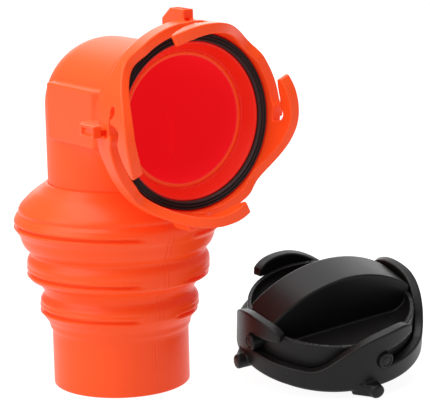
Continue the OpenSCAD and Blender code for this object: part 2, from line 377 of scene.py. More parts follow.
@dataclass
class NodeMaker:
    """Adds nodes to one tree."""

    tree: bpy.types.NodeTree

    @classmethod
    def blank(cls, holder: bpy.types.Material | bpy.types.World) -> NodeMaker:
        """Empties the tree of a material or a world.

        Args:
            holder: the material or world.

        Returns:
            What adds nodes to that tree.
        """
        holder.use_nodes = True
        holder.node_tree.nodes.clear()
        return cls(holder.node_tree)

    def node(self, kind: str, inputs: dict[str | int, object] | None = None,
             settings: dict[str, object] | None = None) -> bpy.types.Node:
        """Adds a node, sets it, and then fills or links its sockets.

        Args:
            kind: the node's type.
            inputs: a value or a Sum for each input, by name or number.
            settings: its properties.

        Returns:
            The node.
        """
        made = self.tree.nodes.new(kind)
        for key, value in (settings or {}).items():
            setattr(made, key, value)
        for key, value in (inputs or {}).items():
            if isinstance(value, Sum):
                self.tree.links.new(value.socket, made.inputs[key])
            else:
                made.inputs[key].default_value = value
        return made

    def out(self, kind: str, inputs: dict[str | int, object] | None = None,
            settings: dict[str, object] | None = None, output: str | int = 0) -> Sum:
        """Adds a node, as the method node does, and gives one of its outputs."""
        return Sum(self, self.node(kind, inputs, settings).outputs[output])

    def split(self, vector: Sum) -> tuple[Sum, ...]:
        """The three values of a vector."""
        return tuple(Sum(self, s) for s in self.node("ShaderNodeSeparateXYZ", {0: vector}).outputs)

    def join(self, x: Sum | float, y: Sum | float, z: Sum | float) -> Sum:
        """A vector of three values."""
        return self.out("ShaderNodeCombineXYZ", {0: x, 1: y, 2: z})


class ShapeTree:
    """A Geometry Nodes tree with named inputs, run on an object and turned into a plain mesh."""

    name = "Shape"
    sizes: dict[str, int | float | Triple] = {}
    sockets = {int: "NodeSocketInt", float: "NodeSocketFloat", tuple: "NodeSocketVector"}

    def __init__(self) -> None:
        """Makes the tree and its sockets, and lets the subclass fill it."""
        self.tree = bpy.data.node_groups.new(self.name, "GeometryNodeTree")
        face = self.tree.interface
        face.new_socket("Geometry", in_out="INPUT", socket_type="NodeSocketGeometry")
        face.new_socket("Geometry", in_out="OUTPUT", socket_type="NodeSocketGeometry")
        for label, value in self.sizes.items():
            socket = face.new_socket(label, in_out="INPUT", socket_type=self.sockets[type(value)])
            socket.default_value = value
        face.new_socket("Finish", in_out="INPUT", socket_type="NodeSocketMaterial")
        self.maker = NodeMaker(self.tree)
        self.group = self.maker.node("NodeGroupInput")
        real = self.maker.out("GeometryNodeRealizeInstances", {0: self.build()})
        done = self.maker.out("GeometryNodeSetMaterial",
                              {0: real, "Material": self.given("Finish")})
        self.maker.node("NodeGroupOutput", {0: done})

    def given(self, label: str) -> Sum:
        """A named input of the tree."""
        return Sum(self.maker, self.group.outputs[label])

    def build(self) -> Sum:
        """Adds the tree's own nodes and gives the geometry that they make."""
        raise NotImplementedError

    def run(self, source: bpy.types.Object, finish: bpy.types.Material,
            **sizes: float | Triple) -> bpy.types.Object:
        """Runs the tree on an object and keeps the result as its plain mesh.

        Args:
            source: the object, whose mesh is replaced.
            finish: the material that the tree sets.
            sizes: the named inputs that differ from their defaults.

        Returns:
            The object.
        """
        step = source.modifiers.new(self.name, "NODES")
        step.node_group = self.tree
        wanted = sizes | {"Finish": finish}
        for item in self.tree.interface.items_tree:
            if item.in_out == "INPUT" and item.name in wanted:
                step[item.identifier] = wanted[item.name]
        graph = bpy.context.evaluated_depsgraph_get()
        graph.update()
        made = bpy.data.meshes.new_from_object(source.evaluated_get(graph))
        source.modifiers.clear()
        old, source.data = source.data, made
        made.name = source.name
        bpy.data.meshes.remove(old)
        return source


class RepeatTree(ShapeTree):
    """Sets a sector round the Z axis, merges its seams, and moves the ring to its place."""

    name = "Repeat round axis"
    sizes = {"Count": 4, "Seam": 2e-5, "Move": (0.0, 0.0, 0.0), "Turn": (0.0, 0.0, 0.0)}

    def build(self) -> Sum:
        """Adds the points, the instances, the merge and the move.

        Returns:
            The ring.
        """
        m, given = self.maker, self.given
        points = m.out("GeometryNodePoints", {"Count": given("Count")})
        angle = m.out("GeometryNodeInputIndex") * (2 * math.pi) / given("Count")
        spread = m.out("GeometryNodeInstanceOnPoints", {
            "Points": points, "Instance": given("Geometry"), "Rotation": m.join(0.0, 0.0, angle)})
        real = m.out("GeometryNodeRealizeInstances", {0: spread})
        merged = m.out("GeometryNodeMergeByDistance", {"Geometry": real, "Distance": given("Seam")})
        return m.out("GeometryNodeTransform", {
            "Geometry": merged, "Translation": given("Move"), "Rotation": given("Turn")})


class LatheTree(ShapeTree):
    """Turns a closed profile, given as a line of points in the XZ plane, round the Z axis."""

    name = "Lathe"
    sizes = {"Turns": 128, "Seam": 1e-6}

    def build(self) -> Sum:
        """Adds the grid, the lookup of the profile and the turned positions.

        Returns:
            The turned surface.
        """
        m, given = self.maker, self.given
        line = given("Geometry")
        length = m.out("GeometryNodeAttributeDomainSize", {"Geometry": line}, {"component": "MESH"},
                       "Point Count")
        rows = given("Turns") + 1
        grid = m.out("GeometryNodeMeshGrid", {"Vertices X": length, "Vertices Y": rows})
        number = m.out("GeometryNodeInputIndex")
        along = (number / rows).of("FLOOR")
        angle = (number - along * rows) * (2 * math.pi) / given("Turns")
        look = m.out("GeometryNodeSampleIndex", {
            "Geometry": line, "Value": m.out("GeometryNodeInputPosition"), "Index": along},
            {"data_type": "FLOAT_VECTOR", "domain": "POINT"})
        radius, _, height = m.split(look)
        where = m.join(radius * angle.of("COSINE"), radius * angle.of("SINE"), height)
        bent = m.out("GeometryNodeSetPosition", {"Geometry": grid, "Position": where})
        merged = m.out("GeometryNodeMergeByDistance", {"Geometry": bent, "Distance": given("Seam")})
        return m.out("GeometryNodeSetShadeSmooth", {"Geometry": merged})


class ThreadTree(ShapeTree):
    """Presses a hose thread's groove into a land, with a soft line above it, open at two partings.

    The gap and the fade are angles from the parting. The lip lies below the groove by a number of
    half widths, and only what stands further out than a share of the land's radius is pressed.
    """

    name = "Hose thread"
    sizes = {"Land": 0.05, "Height": 0.0, "Slope": 0.0, "Half width": 0.0012, "Depth": 0.0020,
             "Lip": 0.0005, "Lip below": 1.6, "Line above": 0.0034, "Line depth": 0.0003,
             "Gap": 0.2, "Fade": 0.2, "Outer share": 0.9}

    def build(self) -> Sum:
        """Adds the groove's cross-section, its fades and the radial move.

        Returns:
            The land with its thread.
        """
        m, given = self.maker, self.given
        x, y, z = m.split(m.out("GeometryNodeInputPosition"))
        radius = (x * x + y * y) ** 0.5
        outer = (radius - given("Land") * given("Outer share")) > 0.0
        rise = z - given("Height") + x * given("Slope")
        half = given("Half width")
        groove, lip, line = (
            (1 - abs(off) / half).of("MAXIMUM", 0.0)
            for off in (rise, rise + half * given("Lip below"), rise - given("Line above")))
        side = abs(x / radius).of("ARCSINE")
        fade = ((side - given("Gap")) / given("Fade")).of("MINIMUM", 1.0).of("MAXIMUM", 0.0)
        fade = fade * fade * (3 - 2 * fade)
        push = lip * given("Lip") - groove * given("Depth") - line * given("Line depth")
        push = push * fade * outer
        offset = m.join(x / radius * push, y / radius * push, 0.0)
        return m.out("GeometryNodeSetPosition", {"Geometry": given("Geometry"), "Offset": offset})


# ---------------------------------------------------------------- finishes


@dataclass(frozen=True)
class PaintedBoreLight:
    """The pipe's inside, with painted shade and a painted red glow for light through the wall."""

    # a darker red than the plastic: painted shade inside the bore
    colour: Triple = (0.45, 0.007, 0.009)
    # a painted red glow for the light that comes through the wall
    painted_glow: Triple = (0.42, 0.0045, 0.0075)
    radius: float = 0.03345

    def mask(self, m: NodeMaker, where: Sum) -> Sum:
        """1 inside the pipe's bore and 0 elsewhere.

        Args:
            m: adds the nodes.
            where: the place on the piece.

        Returns:
            The mask.
        """
        x, y, z = m.split(where)
        rise = z - MOUTH_Z * MM
        flat, deep, up = x * x, y * y, rise * rise
        upright = ((flat + deep) < self.radius ** 2) * (rise < 0.0)
        level = ((flat + up) < self.radius ** 2) * (y < 0.0)
        corner = (flat + deep + up) < self.radius ** 2
        return upright.of("MAXIMUM", level).of("MAXIMUM", corner)


@dataclass(frozen=True)
class MouldedPlastic:
    """A moulded plastic with faint mottling, a fine skin texture, uneven gloss and a painted glow.

    The mottling goes from the deep colour to the plain one, by the share of the coarse clouds in it
    and the rest of the finer flow. A parting is two fine raised lines, given by their distance from
    the middle plane and their half width, in metres.
    """

    name: str
    slot: str
    colour: Triple
    deep: Triple
    roughness: float
    unevenness: float = 0.06
    clouds: float = 0.7
    skin: float = 0.05
    skin_size: float = 900.0
    skin_depth: float = 0.0004
    specular: float = 0.2
    # a painted glow for the light that comes through the wall, none by default
    painted_glow: Triple = (0.0, 0.0, 0.0)
    parting: Pair | None = None
    bore: PaintedBoreLight | None = None

    def material(self) -> bpy.types.Material:
        """Builds the material.

        Returns:
            The material.
        """
        made = bpy.data.materials.new(self.name)
        m = NodeMaker.blank(made)
        where = m.out("ShaderNodeTexCoord", output="Object")
        cloud, flow, grain = (
            m.out("ShaderNodeTexNoise", {"Vector": where, **sizes})
            for sizes in ({"Scale": 26.0, "Detail": 3.0, "Roughness": 0.55},
                          {"Scale": 85.0, "Detail": 4.0, "Distortion": 0.4},
                          {"Scale": self.skin_size, "Detail": 2.0}))
        share = (cloud * self.clouds + flow * (1 - self.clouds)).smooth(0.1, 0.9)
        tint = self._mix(m, share, self.deep, self.colour)
        gloss = self.roughness + (flow - 0.5) * self.unevenness + (cloud - 0.5) * self.unevenness
        height = grain * self.skin
        if self.parting:
            off, half = self.parting
            x, y, _ = m.split(where)
            height = height + (1 - abs(abs(x) - off) / half).of("MAXIMUM", 0.0) * (y < 0.0)
        bump = m.out("ShaderNodeBump",
                     {"Strength": 0.5, "Distance": self.skin_depth, "Height": height})
        # the emission carries the painted glow
        sockets = {"Base Color": tint, "Roughness": gloss, "Normal": bump, "IOR": 1.5,
                   "Specular IOR Level": self.specular, "Emission Color": (*self.painted_glow, 1.0),
                   "Emission Strength": 1.0}
        # inside the bore the base colour takes the painted shade and the emission the painted glow
        if self.bore:
            inside = self.bore.mask(m, where)
            sockets["Base Color"] = self._mix(m, inside, tint, self.bore.colour)
            sockets["Emission Color"] = self._mix(m, inside, self.painted_glow, self.bore.painted_glow)
        m.node("ShaderNodeOutputMaterial", {"Surface": m.out("ShaderNodeBsdfPrincipled", sockets)})
        return made

    def _mix(self, m: NodeMaker, share: Sum, first: Sum | Triple, second: Sum | Triple) -> Sum:
        """Mixes two colours, the second by its share; 6, 7 and 2 are the node's colour sockets."""
        first, second = ((*c, 1.0) if isinstance(c, tuple) else c for c in (first, second))
        return m.out("ShaderNodeMix", {0: share, 6: first, 7: second}, {"data_type": "RGBA"}, 2)


# a painted red glow on the orange plastic for the light that comes through its walls
PAINTED_THROUGH_GLOW = (0.34, 0.0012, 0.0016)


class Finish(Enum):
    """The orange finishes have a painted red glow for the light through the plastic's walls."""

    ELBOW = MouldedPlastic("orange_elbow_plastic", "elbow_plastic", (0.58, 0.076, 0.010),
                           (0.54, 0.068, 0.008), 0.46, painted_glow=PAINTED_THROUGH_GLOW, bore=PaintedBoreLight())
    ADAPTER = MouldedPlastic("orange_adapter_plastic", "adapter_plastic", (0.58, 0.078, 0.011),
                             (0.54, 0.070, 0.009), 0.36, painted_glow=PAINTED_THROUGH_GLOW, parting=(0.0012, 0.0005))
    COLLAR = MouldedPlastic("orange_collar_plastic", "collar_plastic", (0.58, 0.076, 0.010),
                            (0.54, 0.068, 0.008), 0.34, painted_glow=PAINTED_THROUGH_GLOW)
    # the sleeve's orange, made darker and redder as painted shade inside the mouth
    SLEEVE = MouldedPlastic("painted_shade_red_sleeve", "sleeve_plastic", (0.50, 0.020, 0.006),
                            (0.46, 0.016, 0.005), 0.36, painted_glow=PAINTED_THROUGH_GLOW)
    GASKET = MouldedPlastic("black_gasket_rubber", "gasket_rubber", (0.034, 0.019, 0.019),
                            (0.026, 0.015, 0.015), 0.42, skin=0.12, skin_size=1400.0)
    CAP = MouldedPlastic("black_cap_plastic", "cap_plastic", (0.0070, 0.0062, 0.0062),
                         (0.0050, 0.0044, 0.0044), 0.38, skin=0.2)


class Shop:
    """Makes each material and each node tree once, and finishes pieces with them."""

    def __init__(self) -> None:
        """Makes the trees."""
        self.materials: dict[Finish, bpy.types.Material] = {}
        self.repeat = RepeatTree()
        self.lathe = LatheTree()
        self.thread = ThreadTree()

    def finish(self, kind: Finish) -> bpy.types.Material:
        """The material of a finish, made when it's first asked for.

        Args:
            kind: the finish.

        Returns:
            The material.
        """
        if kind not in self.materials:
            self.materials[kind] = kind.value.material()
        return self.materials[kind]

    def lathed(self, name: str, line: Array, kind: Finish, turns: int,
               axis: Axis = Axis.SPIGOT) -> bpy.types.Object:
        """Turns a profile into a piece and puts it on its axis.

        Args:
            name: the piece's name.
            line: the closed profile as radius and height, in millimetres.
            kind: its finish.
            turns: how many faces go round.
            axis: the axis that it's turned round.

        Returns:
            The object.
        """
        r, z = line.T
        if (r * np.roll(z, -1) - np.roll(r, -1) * z).sum() > 0:
            line = line[::-1]
        line = np.vstack([line, line[:1]])
        points = np.stack([line[:, 0], np.zeros(len(line)), line[:, 1]], 1) * MM
        mesh = bpy.data.meshes.new(name)
        mesh.from_pydata(points.tolist(), [(i, i + 1) for i in range(len(points) - 1)], [])
        made = self.lathe.run(make_object(name, mesh), self.finish(kind), Turns=turns)
        made.data.transform(axis.matrix())
        return made

    def repeated(self, made: bpy.types.Object, kind: Finish, axis: Axis) -> bpy.types.Object:
        """Sets a quarter round an axis four times."""
        move, turn = axis.matrix().to_translation(), axis.matrix().to_euler("XYZ")
        return self.repeat.run(made, self.finish(kind), Move=tuple(move), Turn=tuple(turn))

    def hand_over(self, made: bpy.types.Object, kind: Finish, body: str, node: str) -> None:
        """Dresses a piece, sets it on its body in place of a CAD node, and reports it.

        Args:
            made: the piece.
            kind: its finish.
            body: the CAD body that it moves with.
            node: the CAD node that it stands for.
        """
        made.data.materials.clear()
        made.data.materials.append(self.finish(kind))
        made.data.shade_smooth()
        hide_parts(node)
        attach(made, body)
        faces = len(made.data.polygons)
        LOG.info("%s: %d faces, stands for %s on %s", made.name, faces, node, body)


# ---------------------------------------------------------------- outlines


def curve_through(points: Sequence[Pair], spacing: float) -> Array:
    """A smooth line through points.

    Args:
        points: the points in order.
        spacing: the greatest distance between the line's own points.

    Returns:
        The line's points.
    """
    p = np.array(points, float)
    p = np.vstack([2 * p[0] - p[1], p, 2 * p[-1] - p[-2]])
    knots = np.concatenate([[0], np.cumsum(np.linalg.norm(np.diff(p, axis=0), axis=1) ** 0.5)])
    out = []
    for i in range(1, len(p) - 2):
        k = knots[i - 1:i + 3]
        n = max(1, math.ceil(np.linalg.norm(p[i + 1] - p[i]) / spacing))
        t = (k[1] + (k[2] - k[1]) * np.arange(n) / n)[:, None]
        row = list(p[i - 1:i + 3])
        for lows, highs in ((k[:3], k[1:]), (k[:2], k[2:]), (k[1:2], k[2:3])):
            row = [(b - t) / (b - a) * first + (t - a) / (b - a) * second
                   for a, b, first, second in zip(lows, highs, row, row[1:])]
        out.append(row[0])
    return np.vstack(out + [p[-2:-1]])


def rounded_outline(corners: Sequence[Triple], spacing: float, arc: float = 0.35,
                    share: float = 0.48, straight: float = 0.02) -> Array:
    """A closed outline with rounded corners.

    Args:
        corners: each corner's two coordinates and its radius.
        spacing: the greatest distance between points on the straights.
        arc: the greatest angle between points on a rounding, in radians.
        share: the most that a rounding takes of a side.
        straight: the least bend that is rounded, in radians.

    Returns:
        The outline's points, the first not repeated.
    """
    out: list[Array] = []
    n = len(corners)
    for i, (x, y, r) in enumerate(corners):
        here = np.array([x, y])
        before = np.array(corners[i - 1][:2]) - here
        after = np.array(corners[(i + 1) % n][:2]) - here
        lb, la = np.linalg.norm(before), np.linalg.norm(after)
        before, after = before / lb, after / la
        half = math.acos(float(np.clip(before @ after, -1, 1))) / 2
        if r <= 0 or half > math.pi / 2 - straight:
            out.append(here[None])
            continue
        reach = min(r / math.tan(half), share * lb, share * la)
        r = reach * math.tan(half)
        middle = (before + after) / np.linalg.norm(before + after)
        centre = here + middle * r / math.sin(half)
        a, b = here + before * reach - centre, here + after * reach - centre
        sweep = math.atan2(a[0] * b[1] - a[1] * b[0], float(a @ b))
        turn = np.linspace(0, sweep, max(2, math.ceil(abs(sweep) / arc)) + 1)
        out.append(centre + np.stack([a[0] * np.cos(turn) - a[1] * np.sin(turn),
                                      a[0] * np.sin(turn) + a[1] * np.cos(turn)], 1))
    line = np.vstack(out)
    dense = []
    for a, b in zip(line, np.roll(line, -1, 0)):
        k = max(1, math.ceil(np.linalg.norm(b - a) / spacing))
        dense.append(a + (b - a) * (np.arange(k) / k)[:, None])
    return np.vstack(dense)


# ---------------------------------------------------------------- sub-assemblies


@dataclass
class SubAssembly:
    """What every sub-assembly has: the shop that makes its materials and runs its trees."""

    shop: Shop

    def build(self) -> None:
        """Makes the pieces and hands them over."""
        raise NotImplementedError


@dataclass
class HoseAdapter(SubAssembly):
    """The stepped adapter: spigot, three threaded lands, waists and the round shoulder.

    A land is given by its radius and height. The profile keeps all its points up to the fine half
    height from a line just above each land's foot, and elsewhere one point in so many.
    """

    foot: tuple[Triple, ...] = ((37.0, 0, 0), (38.1, 0, 0.9), (38.1, 31, 0))
    profile: tuple[Pair, ...] = (
        (38.1, 31), (39.2, 33), (40, 36), (42, 39), (43.6, 41.6), (44.2, 43.0), (44.2, 47.6),
        (43.7, 49.2), (42.2, 51.4), (41.6, 53), (43.1, 56), (45.2, 58.5), (47.4, 60.1),
        (49.6, 61.4), (50.6, 63.6), (50.6, 71), (49.9, 72.6), (49, 74.1), (48.7, 74.9),
        (49.5, 76.6), (52.1, 79.6), (53.6, 83), (54.3, 85.6), (56.2, 88.5), (57, 90.9), (57, 94.6),
        (56.2, 96.2), (54.6, 97.6), (54.3, 98.3), (54.5, 99.2), (54, 100.9), (50.5, 104.9),
        (46, 108.9), (42.1, 111.6), (39.0, 113.9), (38.3, 114.4))
    inner: tuple[Triple, ...] = (
        (37.45, 114.5, 0), (37.45, 112.5, 0), (37.6, 112.0, 0), (37.6, 100.5, 0.3),
        (34.0, 100.5, 0.5), (34.0, 98.1, 0.5), (40.5, 98.1, 0.8), (40.5, 109.5, 1.5),
        (51.4, 98.3, 2), (52.1, 94, 2), (52.1, 90.5, 2), (45.0, 75.2, 3), (45.7, 71.4, 2),
        (45.7, 65.4, 2), (38.6, 51.8, 3), (39.3, 48, 2), (39.3, 45.5, 2), (34.9, 31, 3),
        (34.9, 0, 0.8))
    lands: tuple[Pair, ...] = ((44.2, 43.1), (50.6, 64.0), (57.0, 90.8))
    fine_above: float = 0.7
    fine_half: float = 5.2
    one_in: int = 3
    foot_edge: float = 37.05
    spacing: Triple = (2.5, 0.3, 3.0)
    slope: float = 1.2
    turns: int = 240

    def build(self) -> None:
        """Lathes the adapter, presses its three threads and hands it over."""
        foot = rounded_outline(self.foot, self.spacing[0])[:-1]
        foot = np.vstack([foot[:1], foot[foot[:, 0] > self.foot_edge]])
        steps = curve_through(self.profile, self.spacing[1])
        off = [np.abs(steps[:, 1] - height - self.fine_above) for _, height in self.lands]
        fine = np.min(off, 0) < self.fine_half
        steps = steps[fine | (np.arange(len(steps)) % self.one_in == 0)]
        line = np.vstack([foot, steps, rounded_outline(self.inner, self.spacing[2])])
        made = self.shop.lathed("hose_adapter_shell", line, Finish.ADAPTER, self.turns)
        for radius, height in self.lands:
            self.shop.thread.run(made, self.shop.finish(Finish.ADAPTER), Land=radius * MM,
                                 Height=height * MM, Slope=math.tan(math.radians(self.slope)))
        self.shop.hand_over(made, Finish.ADAPTER, "elbow", "hose_adapter")


@dataclass
class ElbowBody(SubAssembly):
    """The elbow: two tubes that meet in a round corner, two flat side pads, a flare and a neck.

    The pipe and the neck reach into the flare by the overlap, and the flare's field is slowed down
    by its pace to stay close to a true distance. A pad reaches from behind the upright's axis to in
    front of it. Its ends lean by the draft from its root outwards, and the front one slopes.
    """

    tube_r: float = 37.5
    bore_r: float = 33.0
    bore_edge: float = 0.5
    bottom: float = 100.5
    flare_start: float = 46.0
    shoulder: float = 63.0
    flare_rise: float = 8.0
    flare_pace: float = 0.75
    flare_edge: float = 0.6
    overlap: float = 3.0
    neck_r: float = 35.6
    neck_end: float = 71.8
    pad_x: float = 38.4
    pad_root: float = 36.0
    pad_back: float = 5.0
    pad_front: float = 44.8
    pad_sloped: float = 20.0
    pad_half: float = 15.5
    pad_corner: float = 2.0
    pad_draft: float = 0.06
    pad_edge: float = 0.7
    crotch_r: float = 15.0
    cell: float = 0.9
    low: Triple = (-47, -39.5, -57.5)
    high: Triple = (47, 74, 47)

    def _distance(self, at: Array) -> Array:
        """Distance to the pipe's bent centre line.

        Args:
            at: x across, y towards the mouth, and z over the mouth's axis.

        Returns:
            The distance.
        """
        x, y, z = at
        ball = np.sqrt(x * x + y * y + z * z)
        return np.minimum(np.where(z < 0, np.hypot(x, y), ball),
                          np.where(y > 0, np.hypot(x, z), ball))

    def _pads(self, at: Array) -> Array:
        """The field of the flat side pads.

        Args:
            at: x across, y towards the mouth, and z over the mouth's axis.

        Returns:
            The distance, below 0 in the plastic.
        """
        x, y, z = at
        out = np.abs(x) - self.pad_x
        along = np.abs(y - (self.pad_front - self.pad_back) / 2)
        along = along - (self.pad_back + self.pad_front) / 2 + self.pad_corner
        along = along + np.where(y > self.pad_sloped, out, 0.0)
        tall = np.abs(z) - self.pad_half + self.pad_corner
        flat = np.hypot(np.maximum(along, 0), np.maximum(tall, 0))
        flat = flat + np.minimum(np.maximum(along, tall), 0) - self.pad_corner
        return round_both(flat + (np.abs(x) - self.pad_root) * self.pad_draft, out, self.pad_edge)

    def shape(self, at: Array) -> Array:
        """The elbow's field.

        Args:
            at: x across, y towards the mouth, and z over the mouth's axis.

        Returns:
            The distance, below 0 in the plastic.
        """
        x, y, z = at
        upright, level = np.hypot(x, y), np.hypot(x, z)
        crotch = (y > 0) & (z < 0)
        narrow = np.sqrt(np.clip(1 - (x / self.tube_r) ** 2, 0, 1))
        r = np.where(crotch, self.crotch_r * narrow, 0.0) + 1e-6
        soft = round_union(upright - self.tube_r, level - self.tube_r, r)
        pipe = np.where(crotch, soft, self._distance(at) - self.tube_r)
        pipe = np.maximum(pipe, y - self.flare_start - self.overlap)
        t = ramp(y, self.flare_start, self.shoulder - 0.5)
        rise = self.flare_rise * (1 - np.sqrt(np.maximum(1 - t * t, 0)))
        flare = round_both((level - self.tube_r - rise) * self.flare_pace,
                           slab(y, self.flare_start - 2, self.shoulder), self.flare_edge)
        neck = np.maximum(level - self.neck_r, slab(y, 0, self.neck_end))
        body = np.minimum(np.minimum(pipe, flare), neck)
        body = round_union(body, self._pads(at), self.pad_edge)
        body = np.maximum(body, self.bottom - MOUTH_Z - z)
        return round_cut(body, self._distance(at) - self.bore_r, self.bore_edge)

    def build(self) -> None:
        """Meshes the elbow and hands it over."""
        points, faces = FieldMesher(self.shape, self.low, self.high, self.cell).surface()
        points = np.stack([points[:, 0], -points[:, 1], points[:, 2] + MOUTH_Z], 1) * MM
        made = mesh_object("elbow_shell", points, faces[:, ::-1])
        self.shop.hand_over(made, Finish.ELBOW, "elbow", "elbow_body")


@dataclass
class MouthRings(SubAssembly):
    """The sleeve bonded over the neck, darker red as painted shade, and the ribbed rubber ring
    round its lip.

    The rubber ring stands clear of the lip and inside the flange's edge by the gap. Its top falls
    by the ridge height from each ridge to the next valley, as a cosine to the ridge power.
    """

    neck_r: float = 35.65
    hub_r: float = 40.2
    flange_r: float = 46.2
    shoulder: float = 63.0
    neck_end: float = 71.8
    flange_back: float = 75.5
    flange_t: float = 2.0
    lip_r: float = 41.1
    lip_t: float = 1.2
    lip_end: float = 79.3
    throat_r: float = 36.2
    gap: float = 0.15
    gasket_h: float = 4.0
    ridges: int = 3
    ridge_steps: int = 12
    ridge_h: float = 1.0
    ridge_power: float = 1.6
    foot: float = 0.6
    shoulder_dip: float = 1.4
    spacing: float = 0.8
    turns: int = 160

    def build(self) -> None:
        """Lathes both rings and hands them over."""
        front = self.flange_back + self.flange_t
        sleeve = rounded_outline((
            (self.neck_r, self.shoulder, 0.2), (self.hub_r, self.shoulder, 0.3),
            (self.hub_r, self.flange_back, 0.3), (self.flange_r, self.flange_back, 0.3),
            (self.flange_r, front, 0.3), (self.lip_r, front, 0.3), (self.lip_r, self.lip_end, 0.55),
            (self.lip_r - self.lip_t, self.lip_end, 0.55), (self.throat_r, self.neck_end, 1.0),
            (self.neck_r, self.neck_end, 0.2)), self.spacing)
        inner, outer = self.lip_r + self.gap, self.flange_r - self.gap
        top, steps = front + self.gasket_h, self.ridges * self.ridge_steps
        low, high = front + self.foot, top - self.shoulder_dip
        crest = [(inner + 0.1, front), (inner, low), (inner, high)]
        for t in (i / steps for i in range(steps + 1)):
            dip = abs(math.cos(math.pi * self.ridges * t)) ** self.ridge_power
            crest.append((inner + (outer - inner) * t, top - self.ridge_h * dip))
        crest += [(outer, high), (outer, low), (outer - 0.1, front)]
        for name, line, kind, node in (
                ("mouth_sleeve_ring", sleeve, Finish.SLEEVE, "mouth_sleeve"),
                ("mouth_gasket_ring", np.array(crest), Finish.GASKET, "mouth_gasket")):
            made = self.shop.lathed(name, line, kind, self.turns, Axis.MOUTH)
            self.shop.hand_over(made, kind, "elbow", node)


@dataclass
class HookedWall:
    """A ring wall whose rim carries four hooks, each with an open slot that ends in a round seat.

    A hook's edges are given as pairs: degrees behind its tip, and height over the rim. The tip's
    corners on the roof and the crest are rounded. The outline ends so many degrees ahead of the tip
    and behind it, and deep below the rim. The arms are thicker than the wall by the ledge, on their
    inner side: it grows over the heights of ledge_over and the degrees of ledge_behind, and halves
    over the heights of ledge_thin.
    """

    foot: float
    rim: float
    tip: float
    crest: tuple[Pair, ...]
    roof: tuple[Pair, ...]
    bump: tuple[Pair, ...] = ()
    edge: float = 0.8
    inner: float = CAVITY_R
    outer: float = BAND_R
    reach: float = 84.0
    ends: Pair = (-30.0, 130.0)
    deep: float = 8.0
    tip_r: Pair = (0.9, 1.2)
    spacing: float = 1.1
    ledge: float = 0.0
    ledge_over: Pair = (7.0, 11.0)
    ledge_behind: Pair = (22.0, 10.0)
    ledge_thin: Pair = (11.0, 16.0)

    def __post_init__(self) -> None:
        """Works out the wall's closed outline, unrolled at its middle radius."""
        self.scale = math.radians(1) * (self.inner + self.outer) / 2
        low = self.foot - self.rim - self.deep
        ahead, past = (degrees * self.scale for degrees in self.ends)
        crest, roof = self._edge(self.crest), self._edge(self.roof)
        corners = [(ahead, low, 0), (ahead, 0, 0), *self._edge(self.bump)[1:], *roof[:0:-1],
                   (*roof[0][:2], self.tip_r[0]), (*crest[0][:2], self.tip_r[1]), *crest[1:],
                   (past, 0, 0), (past, low, 0)]
        self.outline = [tuple(p) for p in rounded_outline(corners, 1e3)]

    def _edge(self, line: tuple[Pair, ...]) -> list[Triple]:
        """One edge in millimetres: its first point, then a smooth line through the rest."""
        first, *rest = [(a * self.scale, h) for a, h in line]
        return [(*first, 0), *((a, h, 0) for a, h in curve_through(rest, self.spacing).tolist())]

    def behind(self, turn: Array) -> Array:
        """Degrees behind the nearest tip, below 0 just ahead of it."""
        back = np.mod(self.tip - turn, 90.0)
        return np.where(back < self.reach, back, back - 90.0)

    def shape(self, at: Array) -> Array:
        """The wall's field.

        Args:
            at: turn in degrees, radius and height.

        Returns:
            The distance, below 0 in the plastic.
        """
        turn, radius, height = at
        behind, over = self.behind(turn), height - self.rim
        arm = ramp(over, *self.ledge_over) * ramp(behind, *self.ledge_behind)
        inner = self.inner - self.ledge * arm * (1 - 0.5 * ramp(over, *self.ledge_thin))
        wall = polygon_field(behind * self.scale, over, self.outline)
        wall = round_both(wall, slab(radius, inner, self.outer), self.edge)
        return np.maximum(wall, self.foot - height)


@dataclass
class Fins:
    """Four flat lugs along the collar, each with a sunk outer face and a small pocket.

    The pocket's half width starts as a share of itself and grows to the whole over its taper.
    """

    side: tuple[Pair, ...] = ((58.0, 46.4), (58.0, 51.9), (66.0, 57.6), (79.2, 57.4), (79.2, 46.4))
    half: float = 3.1
    edge: float = 0.8
    sunk: Pair = (67.8, 77.8)
    sunk_half: float = 1.7
    sunk_r: float = 56.3
    pocket: Pair = (77.6, 83.4)
    pocket_half: float = 1.9
    pocket_off: float = 0.7
    pocket_r: Pair = (49.6, 52.7)
    pocket_share: float = 0.2
    pocket_taper: float = 3.0

    def across(self, at: Array) -> tuple[Array, Array]:
        """Distances out from the axis and sideways from the nearest fin's middle plane."""
        around = np.radians(np.mod(at[0] + 45.0, 90.0) - 45.0)
        return at[1] * np.cos(around), at[1] * np.sin(around)

    def shape(self, at: Array) -> Array:
        """The fins' field.

        Args:
            at: turn in degrees, radius and height.

        Returns:
            The distance, below 0 in the plastic.
        """
        (out, beside), height = self.across(at), at[2]
        side = np.abs(beside)
        fin = round_both(polygon_field(height, out, self.side), side - self.half, self.edge)
        face = shared(side - self.sunk_half, slab(height, *self.sunk), self.sunk_r - out)
        return round_cut(fin, face, 0.3)

    def pockets(self, at: Array) -> Array:
        """The field of the pockets in front of the fins, which narrow towards the back.

        Args:
            at: turn in degrees, radius and height.

        Returns:
            The distance, below 0 in a pocket.
        """
        (_, beside), (_, radius, height) = self.across(at), at
        grown = (height - self.pocket[0]) / self.pocket_taper + self.pocket_share
        half = self.pocket_half * np.clip(grown, 0, 1)
        return shared(np.abs(beside - self.pocket_off) - half, slab(height, *self.pocket),
                      slab(radius, *self.pocket_r))


